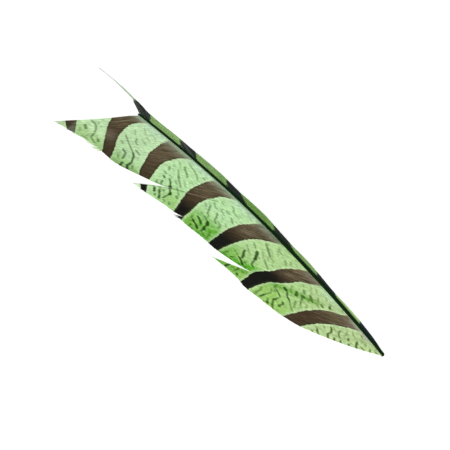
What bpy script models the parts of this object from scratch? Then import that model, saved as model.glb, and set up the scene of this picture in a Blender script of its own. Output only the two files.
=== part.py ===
"""Barred pheasant tail feather: a cut length of a side tail feather, lying with its upper side up.

The shaft runs along X from the cut butt to the cut far end. The broad vane is on its +Y side and the
narrow vane on its -Y side. Places are worked out in the feather's own plan: s runs along the chord of
the shaft from the butt, t runs across it towards the broad vane, and z is the height above the surface
that the feather lies on. Everything is in metres, and the finished feather is centred over its box.
"""

from math import cos, exp, pi, radians, sin, sqrt

import bmesh
import bpy
from mathutils import Vector

# The shaft, between the bare stubs at its two cuts.
SHAFT_LENGTH = 0.1713
SHAFT_BOW = 0.0049          # sideways bow away from the broad vane, at mid length
SHAFT_WIDTH = (0.0022, 0.0015)   # at the butt, at the far end
SHAFT_DEPTH = (0.0024, 0.0015)
SHAFT_FLAT = 0.6            # share of the width that is flat, on the ridge and underneath
SHAFT_STUBS = (0.0010, 0.0004)   # their lengths, at the butt and at the far end
STUB_TAPER = 0.8            # a stub's width and depth at its cut, against the shaft's

# How it lies: the butt and the far end rest on their undersides, and the middle arches clear.
ARCH_HEIGHT = 0.0030
ARCH_SPAN = (0.012, 0.160)  # where the arch leaves and meets the surface

# The vanes.
VANE_THICKNESS = 0.00045
VANE_ROOT_LEVEL = 0.72      # height of the barbs' roots on the shaft's side, as a share of its depth
CREST_RISE = 0.0002         # each bundle of barbs stands out as a rib, this far above the furrow
CREST_REACH = 0.0006        # and its tips reach this far past the furrow's
RIB_PITCH = 0.0019          # between a rib's crest and the furrow beside it, along the shaft
FIRST_BARB, LAST_BARB = 0.0006, 0.1705

# Angle between a barb of the broad vane and the shaft's chord.
BARB_ANGLE = radians(24.0)
BUTT_SPREAD = (radians(6.0), 0.012)  # extra at the butt, and how far it fades along the shaft
TIP_SPREAD = radians(27.0)           # extra at the far end, growing with the cube of s

# The broad vane has split into three locks. Each has its first and last root, the barbs' lengths at
# roots along it, how far out its first and last barbs are straight, the turn that those two barbs make
# beyond that (towards the broad side is positive), and how quickly they make it.
LOCKS = (
    {
        "roots": (0.0, 0.030),
        "lengths": (
            (0.000, 0.0435), (0.004, 0.0500), (0.008, 0.0540), (0.012, 0.0575), (0.016, 0.0603),
            (0.020, 0.0610), (0.025, 0.0608), (0.028, 0.0630), (0.030, 0.0685),
        ),
        "straight": (0.026, 0.048),
        "turn": (radians(-11.0), radians(-2.0)),
        "run": 0.022,
    },
    {
        "roots": (0.031, 0.097),
        "lengths": (
            (0.031, 0.0715), (0.036, 0.0680), (0.042, 0.0652), (0.050, 0.0640), (0.058, 0.0640),
            (0.066, 0.0624), (0.073, 0.0610), (0.082, 0.0620), (0.090, 0.0623), (0.097, 0.0615),
        ),
        "straight": (0.047, 0.0442),
        "turn": (radians(-20.0), radians(8.0)),
        "run": 0.018,
    },
    {
        "roots": (0.098, 0.1713),
        "lengths": (
            (0.098, 0.0695), (0.104, 0.0655), (0.112, 0.0610), (0.122, 0.0558), (0.134, 0.0504),
            (0.144, 0.0470), (0.153, 0.0460), (0.163, 0.0465), (0.1713, 0.0435),
        ),
        "straight": (0.043, 0.012),
        "turn": (radians(-12.0), radians(-6.0)),
        "run": 0.012,
    },
)
TURN_FADE = 2.0             # how quickly the turn fades from a lock's edge to its middle
INNER_STEPS = 6             # from the shaft to where the turn begins, which is where a split ends
OUTER_STEPS = 4             # from there to the tip
TRACE_STEP = 0.0005         # along a barb, when its path is traced

# Height of the broad vane's margin above the surface, and how the cut locks lift at their corners.
TAIL_LIFT = (0.130, 0.0012)  # from this root on, the far lock's tips rise, in all by this much
CORNER_LIFT = 0.0008
CORNER_FADE = (4, 6)        # how fast that lift fades along the lock, and in towards the shaft

# The narrow vane: its barbs sweep back along the shaft.
NARROW_REACH = 0.0118       # along the shaft, from root to tip
NARROW_WIDTH = ((0.0, 0.0014), (0.030, 0.0019), (0.060, 0.0025), (0.090, 0.0034), (0.130, 0.0035),
                (0.150, 0.0034), (0.165, 0.0037), (0.179, 0.0048))  # from the shaft's centre line
NARROW_SWEEP = 1.6          # how soon its barbs turn to run along the shaft
NARROW_END = 0.1785         # the last barbs are worn off here
NARROW_DROOP = 0.13         # fall of the narrow vane against its width
NARROW_STEPS = 3

# One thin barb is left past the narrow vane's end: its points (s, t, top height) and half widths.
FILAMENT = (
    (0.1850, -0.0040, 0.00062, 0.00024),
    (0.1935, -0.0037, 0.00056, 0.00020),
    (0.2020, -0.0028, 0.00050, 0.00014),
)

# Columns of the sheet that the feather is made from: the two vanes' roots on the shaft.
NARROW_ROOT, BROAD_ROOT = 0, 3
LEADING_ROWS = 2            # rows of bare shaft before the first barb

ROUNDING = 1e-6
SHARP_EDGE = radians(50.0)

VANE_COLOUR = (0.40, 0.61, 0.30)
SHAFT_COLOUR = (0.02, 0.04, 0.015)


def clear_scene():
    for item in list(bpy.data.objects):
        bpy.data.objects.remove(item, do_unlink=True)


def blend(first, last, share):
    return first + (last - first) * share


def along(table, place):
    """Reads a table of (place, value) pairs, with straight runs between them."""
    for (p0, v0), (p1, v1) in zip(table, table[1:]):
        if place <= p1:
            return blend(v0, v1, max(0.0, (place - p0) / (p1 - p0)))
    return table[-1][1]


def smooth(share):
    share = min(max(share, 0.0), 1.0)
    return share * share * (3.0 - 2.0 * share)


# The shaft


def shaft_side(s):
    """The centre line's t at s."""
    v = s / SHAFT_LENGTH
    return -4.0 * SHAFT_BOW * v * (1.0 - v)


def shaft_size(s):
    """Width and depth at s, a little less towards the two cuts."""
    v = min(max(s / SHAFT_LENGTH, 0.0), 1.0)
    width, depth = blend(*SHAFT_WIDTH, v), blend(*SHAFT_DEPTH, v)
    stub = max(-s / SHAFT_STUBS[0], (s - SHAFT_LENGTH) / SHAFT_STUBS[1], 0.0)
    taper = blend(1.0, STUB_TAPER, stub)
    return width * taper, depth * taper


def shaft_underside(s):
    """Height of the shaft's underside at s."""
    share = (s - ARCH_SPAN[0]) / (ARCH_SPAN[1] - ARCH_SPAN[0])
    return ARCH_HEIGHT * sin(pi * min(max(share, 0.0), 1.0)) ** 2


def root_level(s):
    """Height of the barbs' upper side where they leave the shaft."""
    return shaft_underside(s) + VANE_ROOT_LEVEL * shaft_size(s)[1]


def shaft_points(s):
    """The upper half of the section at s, from the narrow vane's root to the broad vane's.

    Each entry is a point and how far straight below it the underside lies.
    """
    slope = (shaft_side(s + TRACE_STEP) - shaft_side(s - TRACE_STEP)) / (2.0 * TRACE_STEP)
    across = Vector((-slope, 1.0)).normalized()
    centre = Vector((s, shaft_side(s)))
    width, depth = shaft_size(s)
    ridge = shaft_underside(s) + depth
    points = []
    for share, height, drop in (
        (-0.5, root_level(s), VANE_THICKNESS),
        (-0.5 * SHAFT_FLAT, ridge, depth),
        (0.5 * SHAFT_FLAT, ridge, depth),
        (0.5, root_level(s), VANE_THICKNESS),
    ):
        place = centre + across * width * share
        points.append((Vector((place.x, place.y, height)), drop))
    return points


# The broad vane


def lock_of(root):
    return next(lock for lock in LOCKS if root <= lock["roots"][1] + ROUNDING)


def broad_barb(root, reach=0.0):
    """Points of the barb that grows at root, at the steps of the vane's mesh, out from the shaft."""
    lock = lock_of(root)
    first, last = lock["roots"]
    share = (root - first) / (last - first)
    straight = blend(*lock["straight"], share)
    length = along(lock["lengths"], root) + reach
    turn = lock["turn"][0] * (1.0 - share) ** TURN_FADE + lock["turn"][1] * share**TURN_FADE
    angle = BARB_ANGLE + BUTT_SPREAD[0] * exp(-root / BUTT_SPREAD[1])
    angle += TIP_SPREAD * (root / SHAFT_LENGTH) ** 3
    stops = [straight * k / INNER_STEPS for k in range(1, INNER_STEPS + 1)]
    stops += [blend(straight, length, k / OUTER_STEPS) for k in range(1, OUTER_STEPS + 1)]
    margin = VANE_THICKNESS + TAIL_LIFT[1] * smooth((root - TAIL_LIFT[0]) / (LAST_BARB - TAIL_LIFT[0]))
    corner = CORNER_LIFT * share ** CORNER_FADE[0]
    s, t = root, shaft_side(root)
    gone = 0.0
    points = []
    for stop in stops:
        while gone < stop:
            step = min(TRACE_STEP, stop - gone)
            bend = sqrt(min(max((gone + step / 2.0 - straight) / lock["run"], 0.0), 1.0))
            s += step * cos(angle + turn * bend)
            t += step * sin(angle + turn * bend)
            gone += step
        out = gone / length
        height = blend(root_level(root), margin, out**2) + corner * out ** CORNER_FADE[1]
        points.append(Vector((s, t, height)))
    return points


# The narrow vane


def narrow_barb(root, reach=0.0):
    """Points of the narrow vane's barb that grows at root, out from the shaft."""
    end = min(NARROW_REACH + reach, NARROW_END + reach - root)
    points = []
    for k in range(1, NARROW_STEPS + 1):
        gone = end * k / NARROW_STEPS
        s = root + gone
        half = shaft_size(min(s, SHAFT_LENGTH))[0] / 2.0
        swept = 1.0 - (1.0 - min(gone / NARROW_REACH, 1.0)) ** NARROW_SWEEP
        beyond = (along(NARROW_WIDTH, s) - half) * swept
        height = root_level(min(s, SHAFT_LENGTH)) - NARROW_DROOP * beyond
        points.append(Vector((s, shaft_side(s) - half - beyond, height)))
    return points


# The whole feather, as one sheet of rows that is then given its underside


def barb_rows():
    """The roots of the rows, lock by lock, and the rows after which the broad vane is split."""
    roots, splits = [], []
    for lock in LOCKS:
        first, last = max(lock["roots"][0], FIRST_BARB), min(lock["roots"][1], LAST_BARB)
        steps = round((last - first) / RIB_PITCH)
        roots += [blend(first, last, k / steps) for k in range(steps + 1)]
        splits.append(len(roots) - 1)
    return roots, splits[:-1]


def sheet_row(root, crest):
    """One row right across the feather: column number to (point, drop to the underside)."""
    rise, reach = (CREST_RISE, CREST_REACH) if crest else (0.0, 0.0)
    row = dict(enumerate(shaft_points(root)))
    lifted = Vector((0.0, 0.0, rise))
    for k, point in enumerate(narrow_barb(root, reach)):
        row[NARROW_ROOT - 1 - k] = (point + lifted, VANE_THICKNESS + rise)
    for k, point in enumerate(broad_barb(root, reach)):
        row[BROAD_ROOT + 1 + k] = (point + lifted, VANE_THICKNESS + rise)
    return row


def filament_columns(upper, lower):
    """Carries the last two rows of the narrow vane on, as one thin barb."""
    start = NARROW_ROOT - 1 - NARROW_STEPS
    for k, (s, t, height, half) in enumerate(FILAMENT):
        upper[start - k] = (Vector((s, t - half, height)), VANE_THICKNESS)
        lower[start - k] = (Vector((s, t + half, height)), VANE_THICKNESS)


def build_sheet(mesh):
    """Adds the feather's upper side, and stores on each point how far down its underside is."""
    roots, splits = barb_rows()
    rows = [dict(enumerate(shaft_points(-SHAFT_STUBS[0]))), dict(enumerate(shaft_points(0.0)))]
    rows += [sheet_row(root, k % 2 == 0) for k, root in enumerate(roots)]
    rows += [dict(enumerate(shaft_points(SHAFT_LENGTH + SHAFT_STUBS[1])))]
    filament_columns(rows[-3], rows[-2])
    down = mesh.verts.layers.float.new("down")
    grid = []
    for row in rows:
        placed = {}
        for column, (point, drop) in row.items():
            vert = mesh.verts.new(point)
            vert[down] = drop
            placed[column] = vert
        grid.append(placed)
    split_column = BROAD_ROOT + INNER_STEPS
    split_rows = {LEADING_ROWS + k for k in splits}
    for k, (upper, lower) in enumerate(zip(grid, grid[1:])):
        for column in sorted(set(upper) & set(lower)):
            if column + 1 not in upper or column + 1 not in lower:
                continue
            if k in split_rows and column >= split_column:
                continue
            face = mesh.faces.new(
                (upper[column], upper[column + 1], lower[column + 1], lower[column])
            )
            face.material_index = int(NARROW_ROOT <= column < BROAD_ROOT)
            face.smooth = True


def give_underside(mesh):
    """Extrudes the sheet and drops the copy, so that the feather becomes one closed solid."""
    down = mesh.verts.layers.float["down"]
    made = bmesh.ops.extrude_face_region(mesh, geom=list(mesh.faces))
    for item in made["geom"]:
        if isinstance(item, bmesh.types.BMVert):
            item.co.z -= item[down]
    bmesh.ops.recalc_face_normals(mesh, faces=mesh.faces)
    bmesh.ops.triangulate(mesh, faces=mesh.faces)


def centre_over_box(mesh):
    """Moves the feather so that its box's bottom centre is the origin."""
    low = Vector([min(vert.co[axis] for vert in mesh.verts) for axis in range(3)])
    high = Vector([max(vert.co[axis] for vert in mesh.verts) for axis in range(3)])
    middle = Vector(((low.x + high.x) / 2.0, (low.y + high.y) / 2.0, low.z))
    bmesh.ops.translate(mesh, verts=mesh.verts, vec=-middle)


def material(name, colour, roughness):
    made = bpy.data.materials.new(name)
    made.use_nodes = True
    shader = made.node_tree.nodes["Principled BSDF"]
    shader.inputs["Base Color"].default_value = (*colour, 1.0)
    shader.inputs["Roughness"].default_value = roughness
    shader.inputs["Metallic"].default_value = 0.0
    made.diffuse_color = (*colour, 1.0)
    return made


def build_feather():
    mesh = bmesh.new()
    build_sheet(mesh)
    give_underside(mesh)
    centre_over_box(mesh)
    data = bpy.data.meshes.new("feather")
    mesh.to_mesh(data)
    mesh.free()
    data.set_sharp_from_angle(angle=SHARP_EDGE)
    data.materials.append(material("vane", VANE_COLOUR, 0.75))
    data.materials.append(material("shaft", SHAFT_COLOUR, 0.45))
    feather = bpy.data.objects.new("feather", data)
    bpy.context.scene.collection.objects.link(feather)
    return feather


clear_scene()
build_feather()
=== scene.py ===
"""The looks of a barred pheasant tail feather, dyed green: a cut length that lies with its upper side up.

Places are worked out in the feather's own plan, in metres: s runs along the chord of the shaft from the cut
butt, t runs across it towards the broad vane, and z is the height above the surface that it lies on.
"""

from math import pi, radians

import bpy
import numpy as np
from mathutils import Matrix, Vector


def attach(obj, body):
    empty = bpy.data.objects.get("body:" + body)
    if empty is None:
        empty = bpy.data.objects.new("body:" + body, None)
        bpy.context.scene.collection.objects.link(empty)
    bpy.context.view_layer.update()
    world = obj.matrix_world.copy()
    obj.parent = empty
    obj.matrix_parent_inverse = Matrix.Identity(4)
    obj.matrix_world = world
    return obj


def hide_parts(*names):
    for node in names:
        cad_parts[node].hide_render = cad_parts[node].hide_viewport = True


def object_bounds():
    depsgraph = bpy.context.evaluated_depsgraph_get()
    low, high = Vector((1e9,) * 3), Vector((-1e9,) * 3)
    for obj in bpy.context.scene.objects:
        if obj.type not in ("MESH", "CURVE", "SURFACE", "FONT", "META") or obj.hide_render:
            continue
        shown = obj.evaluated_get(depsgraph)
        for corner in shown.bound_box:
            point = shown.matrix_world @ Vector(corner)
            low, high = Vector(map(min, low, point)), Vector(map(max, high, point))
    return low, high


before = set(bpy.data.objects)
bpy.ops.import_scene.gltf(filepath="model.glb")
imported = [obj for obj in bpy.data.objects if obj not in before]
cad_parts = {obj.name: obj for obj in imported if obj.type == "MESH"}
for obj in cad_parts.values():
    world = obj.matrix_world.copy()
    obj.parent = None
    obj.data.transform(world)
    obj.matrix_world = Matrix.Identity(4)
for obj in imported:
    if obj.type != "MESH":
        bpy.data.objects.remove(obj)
cad_low, cad_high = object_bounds()


# The shaft. One tapering rod of horn round a core of pith, grown with the barbs of both vanes on its flanks.
# The dye left its back almost black, and its flank beside the broad vane pale. It is cut at both ends, and
# it lies on those ends with its middle arched clear of the surface.

# The feather's lowest s and its highest t, which place the plan in the CAD box.
BUTT_CUT, FARTHEST_TIP = -0.0011, 0.0323

SHAFT_LENGTH = 0.1713
SHAFT_BOW = 0.0049  # sideways, away from the broad vane
SHAFT_WIDTH = (0.0022, 0.0015)  # at the butt and at the far end, like its depth
SHAFT_DEPTH = (0.0024, 0.0015)
SHAFT_STUBS = (0.0011, 0.0004)  # how far it runs on past those two places
STUB_ROUND = 0.0007  # length over which its ends are rounded off
STUB_FACE = 0.5  # size of the cut faces, against the whole section
ARCH_HEIGHT = 0.0030
ARCH_SPAN = (0.012, 0.160)
BARB_LEVEL = 0.72  # where the barbs leave its flank, as a share of its depth

SHAFT_RINGS = 150
RING_EVENING = 0.35  # with 0 the rings crowd most towards the two ends, where the shaft is rounded
SHAFT_SIDES = 56
SHAFT_SQUARENESS = 0.72  # 1 is an ellipse, less is squarer
SHAFT_CREASE = radians(55.0)  # its edges stay sharp from this angle
# Its black ridge in millimetres: s, and how far its two sides are from the centre line.
RIDGE_SIDES = (
    (0, -0.75, 0.52), (10, -0.80, 0.64), (29, -0.88, 0.83), (55, -0.84, 0.92), (67, -0.83, 0.90),
    (78, -0.81, 0.72), (97, -0.78, 0.46), (128, -0.72, 0.40), (157, -0.66, 0.29), (172, -0.62, 0.27),
)
RIDGE_BLEND = 0.14  # width of the slope down its sides, in millimetres
GROOVE_DEPTH = 0.14  # of the furrow along its underside, as a share of its depth
GROOVE_WIDTH = 0.5  # as a share of its width
GROOVE_LEVEL = 0.3  # it is cut into this lowest share of the depth
PITH_SHARE = 0.55  # the pith's width against the whole cut face
PITH_SUNK = 0.0001
FACE_MAP = 0.04  # a cut face's share of the map

MM = 1000.0  # the materials read places in millimetres


def read(table, place):
    """Reads a table of (place, value) pairs, with straight runs between them."""
    places, values = zip(*table)
    return np.interp(place, places, values)


def smooth(share):
    share = np.clip(share, 0.0, 1.0)
    return share * share * (3.0 - 2.0 * share)


def between(pair, share):
    return pair[0] + (pair[1] - pair[0]) * share


def in_part(s, t, z):
    """Points of the part's frame, from places in the plan."""
    s, t, z = np.broadcast_arrays(s, t, z)
    return np.stack([s - BUTT_CUT + cad_low.x, t - FARTHEST_TIP + cad_high.y, z], axis=-1)


def shaft_side(s):
    """The shaft's centre line: its t at s."""
    v = s / SHAFT_LENGTH
    return -4.0 * SHAFT_BOW * v * (1.0 - v)


def shaft_size(s):
    v = np.clip(s / SHAFT_LENGTH, 0.0, 1.0)
    return between(SHAFT_WIDTH, v), between(SHAFT_DEPTH, v)


def shaft_underside(s):
    share = np.clip((s - ARCH_SPAN[0]) / (ARCH_SPAN[1] - ARCH_SPAN[0]), 0.0, 1.0)
    return ARCH_HEIGHT * np.sin(pi * share) ** 2


def root_level(s):
    """Height at which the barbs leave the shaft."""
    return shaft_underside(s) + BARB_LEVEL * shaft_size(s)[1]


def shaft_rings():
    """Rings of points along the shaft, and for each point what the material reads: how far along and across
    the shaft it is, and how high on it, which is 1 more on the black ridge."""
    first, last = -SHAFT_STUBS[0], SHAFT_LENGTH + SHAFT_STUBS[1]
    share = np.linspace(0.0, 1.0, SHAFT_RINGS)
    share = 0.5 - 0.5 * np.cos(pi * share) * (1.0 - RING_EVENING * np.sin(pi * share))
    along = between((first, last), share)[:, None]
    inside = np.clip(np.minimum(along - first, last - along) / STUB_ROUND, 0.0, 1.0)
    rounding = np.sqrt(1.0 - (1.0 - inside) ** 2 * (1.0 - STUB_FACE**2))
    width, depth = shaft_size(along)
    turn = np.linspace(0.0, 2.0 * pi, SHAFT_SIDES, endpoint=False)
    across, rise = (np.sign(way) * np.abs(way) ** SHAFT_SQUARENESS for way in (np.cos(turn), np.sin(turn)))
    # The ridge stands up between two shelves, on which the barbs have their feet.
    places, *sides = np.array(RIDGE_SIDES).T
    low, high = (np.interp(along * MM, places, side) for side in sides)
    out = 0.5 * width * across * MM
    ridge = smooth((out - low) / RIDGE_BLEND + 0.5) * smooth((high - out) / RIDGE_BLEND + 0.5)
    up = 0.5 + 0.5 * np.where(rise > 0.0, rise * ridge, rise)
    groove = GROOVE_DEPTH * np.clip(1.0 - (across / GROOVE_WIDTH) ** 2, 0.0, 1.0) * (up < GROOVE_LEVEL)
    side = 0.5 * width * across * rounding
    height = shaft_underside(along) + 0.5 * depth + depth * (up + groove - 0.5) * rounding
    slope = np.gradient(shaft_side(along[:, 0]), along[:, 0])[:, None]
    seen = np.stack(np.broadcast_arrays(along * MM, across, rise + ridge * (rise > 0.0)), axis=-1)
    return in_part(along - side * slope, shaft_side(along) + side, height), seen


def pith_ring(ring, inward):
    """The edge of the sunk pith, inside the ring of a cut end."""
    middle = ring.mean(axis=0)
    pith = middle + (ring - middle) * PITH_SHARE
    pith[:, 0] += inward
    return pith


def make_mesh(name, points, faces, crease, layers, places):
    """A smooth mesh. Each layer stores three numbers at each point, for the material. The places are those of
    the faces' corners on the map that the colours are baked on."""
    mesh = bpy.data.meshes.new(name)
    mesh.from_pydata(points.reshape(-1, 3).tolist(), [], faces)
    mesh.shade_smooth()
    mesh.set_sharp_from_angle(angle=crease)
    for layer, values in layers.items():
        data = mesh.attributes.new(layer, "FLOAT_VECTOR", "POINT").data
        data.foreach_set("vector", np.ascontiguousarray(values, np.float32).ravel())
    data = mesh.uv_layers.new(name="OFBake").data
    data.foreach_set("uv", np.ascontiguousarray(places, np.float32).ravel())
    return mesh


def build_shaft():
    """One sleeve of faces, from the middle of the butt's pith to the middle of the far end's."""
    rings, seen = shaft_rings()
    rings = np.stack([pith_ring(rings[0], PITH_SUNK), *rings, pith_ring(rings[-1], -PITH_SUNK)])
    seen = np.stack([seen[0], *seen, seen[-1]])
    count, sides = rings.shape[:2]
    points, seen = (
        np.concatenate([values.reshape(-1, 3), values[[0, -1]].mean(axis=1)]) for values in (rings, seen)
    )
    # The two middle points come last. Each stands for a whole ring, and takes one corner of a face.
    middles = [[count * sides + k] * sides for k in (0, 1)]
    rows = [middles[0], *np.arange(count * sides).reshape(count, sides).tolist(), middles[1]]
    along = np.linspace(FACE_MAP, 1.0 - FACE_MAP, count - 2)
    along = [0.0, 0.5 * FACE_MAP, *along, 1.0 - 0.5 * FACE_MAP, 1.0]
    faces, places = [], []
    for first, second, low, high in zip(rows, rows[1:], along, along[1:]):
        for k in range(sides):
            after = (k + 1) % sides
            left, right = k / sides, (k + 1) / sides
            corners = {first[k]: (low, left), first[after]: (low, right)}
            corners |= {second[after]: (high, right), second[k]: (high, left)}
            faces.append(tuple(corners))
            places.extend(corners.values())
    return make_mesh("shaft", points, faces, SHAFT_CREASE, {"rod": seen}, places)


class Value:
    """A value that changes over a surface. Arithmetic on it adds Math nodes to its finish."""

    def __init__(self, finish, socket):
        self.finish = finish
        self.socket = socket

    def maths(self, operation, *numbers):
        return self.finish.node("ShaderNodeMath", {"operation": operation}, dict(enumerate(numbers)))

    def __add__(self, other):
        return self.maths("ADD", self, other)

    def __sub__(self, other):
        return self.maths("SUBTRACT", self, other)

    def __rsub__(self, other):
        return self.maths("SUBTRACT", other, self)

    def __mul__(self, other):
        return self.maths("MULTIPLY", self, other)

    def __truediv__(self, other):
        return self.maths("DIVIDE", self, other)

    def __abs__(self):
        return self.maths("ABSOLUTE", self)

    __radd__ = __add__
    __rmul__ = __mul__

    def most(self, other):
        return self.maths("MAXIMUM", self, other)

    def rise(self, low, high):
        """0 below low, 1 above high and smooth between them; it falls where low is above high."""
        ends = {"Value": self, "From Min": low, "From Max": high}
        return self.finish.node("ShaderNodeMapRange", {"interpolation_type": "SMOOTHSTEP"}, ends)

    def near(self, place, reach):
        """1 at place, falling smoothly to 0 at that reach to either side."""
        return abs(self - place).rise(reach, 0.0)


class Finish:
    """One material. node() makes any of its nodes: first the settings, then the values or links."""

    def __init__(self, name, constants):
        self.material = bpy.data.materials.new(name)
        self.material.use_nodes = True
        self.tree = self.material.node_tree
        self.shader = self.tree.nodes["Principled BSDF"]
        self.fill(self.shader, constants)

    def fill(self, node, values):
        for key, value in values.items():
            socket = node.inputs[key]
            if isinstance(value, Value):
                self.tree.links.new(value.socket, socket)
            elif isinstance(value, tuple) and socket.type == "RGBA":
                socket.default_value = (*value, 1.0)
            else:
                socket.default_value = value

    def node(self, kind, settings=None, values=None, output=0):
        made = self.tree.nodes.new(kind)
        for name, setting in (settings or {}).items():
            setattr(made, name, setting)
        self.fill(made, values or {})
        return Value(self, made.outputs[output])

    def layer(self, name):
        """The three numbers that the mesh holds under that name."""
        vector = self.node("ShaderNodeAttribute", {"attribute_name": name}, output="Vector")
        return [self.node("ShaderNodeSeparateXYZ", values={0: vector}, output=k) for k in range(3)]

    def noise(self, x, y, z=0.0, detail=2.0, roughness=0.5):
        """About 0.5, with features one unit across."""
        place = self.node("ShaderNodeCombineXYZ", values={0: x, 1: y, 2: z})
        look = {"Vector": place, "Scale": 1.0, "Detail": detail, "Roughness": roughness}
        return self.node("ShaderNodeTexNoise", values=look)

    def mix(self, share, first, last):
        colours = {0: share, 6: first, 7: last}
        return self.node("ShaderNodeMix", {"data_type": "RGBA"}, colours, output=2)

    def cover(self, colour, *coats):
        """The colour under coats, each a share and a colour, from the lowest up."""
        for share, coat in coats:
            colour = self.mix(share, colour, coat)
        return colour

    def shade(self, colour, strength):
        """The colour, times a value."""
        colours = {0: 1.0, 6: colour, 7: strength}
        settings = {"data_type": "RGBA", "blend_type": "MULTIPLY"}
        return self.node("ShaderNodeMix", settings, colours, output=2)

    def bump(self, height, distance):
        look = {"Strength": 1.0, "Distance": distance, "Height": height}
        return self.node("ShaderNodeBump", values=look)


def add_object(name, data):
    thing = bpy.data.objects.new(name, data)
    bpy.context.scene.collection.objects.link(thing)
    return thing


def add_piece(mesh, finish):
    """Puts the piece in the scene, on the feather's one body, in place of its plain solid."""
    mesh.materials.append(finish.material)
    piece = add_object(mesh.name, mesh)
    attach(piece, "root")
    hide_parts("feather")


HORN_BLACK = (0.003, 0.016, 0.003)
HORN_PALE = (0.40, 0.55, 0.40)
HORN_BUTT = (0.33, 0.41, 0.26)  # the pale flank's colour towards the butt
HORN_BELOW = (0.16, 0.19, 0.08)  # the furrowed underside, where less dye took
HORN_NARROW = (0.06, 0.10, 0.04)  # the flank by the narrow vane
PALE_FROM = (70.0, 92.0)  # where the flank turns paler along the shaft, in millimetres
BLACK_BUTT = (2.2, 3.2)  # the whole butt is black up to here
GRAIN_HEIGHT = 0.00006
HORN_GRAIN = (0.12, 4.0)  # its grains in a millimetre along the shaft, and from its middle to its side


def shaft_finish():
    finish = Finish("dyed_horn", {"IOR": 1.5, "Specular IOR Level": 0.03})
    s, across, ridge = finish.layer("rod")
    grain = finish.noise(s * HORN_GRAIN[0], across * HORN_GRAIN[1], ridge, detail=3.0)
    wander = finish.noise(s * 0.9, across, ridge, detail=3.0)
    back = finish.shade(HORN_BLACK, 0.5 + grain)
    below = finish.shade(HORN_BELOW, 0.6 + grain * 0.8)
    pale = finish.shade(finish.mix(s.rise(*PALE_FROM), HORN_BUTT, HORN_PALE), 0.55 + wander * 0.9)
    flank = finish.mix(across.rise(-0.1, 0.1), HORN_NARROW, pale)
    off_ridge = (ridge + (wander - 0.5) * 0.3).rise(1.45, 1.25) * s.rise(*BLACK_BUTT)
    finish.fill(finish.shader, {
        "Base Color": finish.cover(back, (off_ridge, flank), (ridge.rise(-0.1, -0.5), below)),
        "Roughness": 0.34 + grain * 0.2,
        "Normal": finish.bump(grain, GRAIN_HEIGHT),
    })
    return finish


add_piece(build_shaft(), shaft_finish())


# The broad vane. Some three hundred and sixty barbs, each a flat strand of keratin that hooks to the next
# with its barbules, so that they lie as one sheet. It has split into three locks, and the barbs' tips are its
# margin.

BARB_ANGLE = radians(21.2)  # between a barb's straight part and the shaft's chord
BUTT_SPREAD = (radians(10.8), 0.011)  # how much wider it is at the butt, and over what length that fades
FAR_SPREAD = (radians(9.0), radians(20.8))  # and further along: evenly along the shaft, and near its far end
FIRST_BARB, LAST_BARB = -0.0008, 0.1713
# Each lock: the roots of its first and last barb, and the barbs' lengths by root. A barb runs straight, and
# then turns over a run, by pairs of values for the lock's first and last barb.
LOCKS = (
    {
        "roots": (-0.001, 0.030),
        "lengths": (
            (-0.001, 0.0442), (0.000, 0.0477), (0.002, 0.0510), (0.004, 0.0536), (0.008, 0.0570),
            (0.012, 0.0608), (0.014, 0.0632), (0.016, 0.0642), (0.020, 0.0642), (0.025, 0.0672),
            (0.030, 0.0702),
        ),
        "straight": (0.004, 0.058),
        "turn": (radians(-12.5), radians(-2.0)),
        "run": (0.040, 0.014),
    },
    {
        "roots": (0.031, 0.097),
        "lengths": (
            (0.031, 0.0716), (0.036, 0.0693), (0.042, 0.0678), (0.050, 0.0686), (0.058, 0.0670),
            (0.066, 0.0642), (0.073, 0.0637), (0.082, 0.0644), (0.090, 0.0633), (0.097, 0.0613),
        ),
        "straight": (0.047, 0.039),
        "turn": (radians(-14.0), radians(9.5)),
        "run": (0.018, 0.018),
    },
    {
        "roots": (0.098, 0.1713),
        "lengths": (
            (0.098, 0.0694), (0.104, 0.0664), (0.112, 0.0627), (0.122, 0.0573), (0.134, 0.0523),
            (0.144, 0.0489), (0.153, 0.0472), (0.163, 0.0445), (0.1713, 0.0436),
        ),
        "straight": (0.043, 0.014),
        "turn": (radians(-9.5), radians(-3.3)),
        "run": (0.012, 0.010),
    },
)
TURN_FADE = 3.0  # how soon a lock's inner barbs leave off following its first or last one
SHEET_THICKNESS = 0.00045
SHEET_MIDDLE = 0.00022  # from the sheet's upper side down to its middle, where the barbs lie
TAIL_LIFT = (0.130, 0.0012)  # the margin is off the surface past this root, and by this much in the end
CORNER_LIFT = 0.0008  # of each lock's last barbs, at their tips
CORNER_FADE = (4, 6)  # how soon that fades, along the lock and in from the tips
WAVE = (0.00010, 0.019, 0.35)  # the sheet's slow waves: height, length by the shaft, and lean

# Small splits that have begun at the margin: the root of the barb that they follow, how far in they reach
# from the tips, how far they open, and over what stretch of roots to each side that fades.
SPLITS = (
    (0.0650, 0.0055, radians(7.0), 0.0016),
    (0.1330, 0.0040, radians(4.0), 0.0018),
)
SPLIT_EASE = 0.4  # they open over this share of that reach

STRAND_SPACING = 0.00024  # between two barbs, square to them
STRAND_OVERLAP = 1.16  # a barb's width against that spacing
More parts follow.
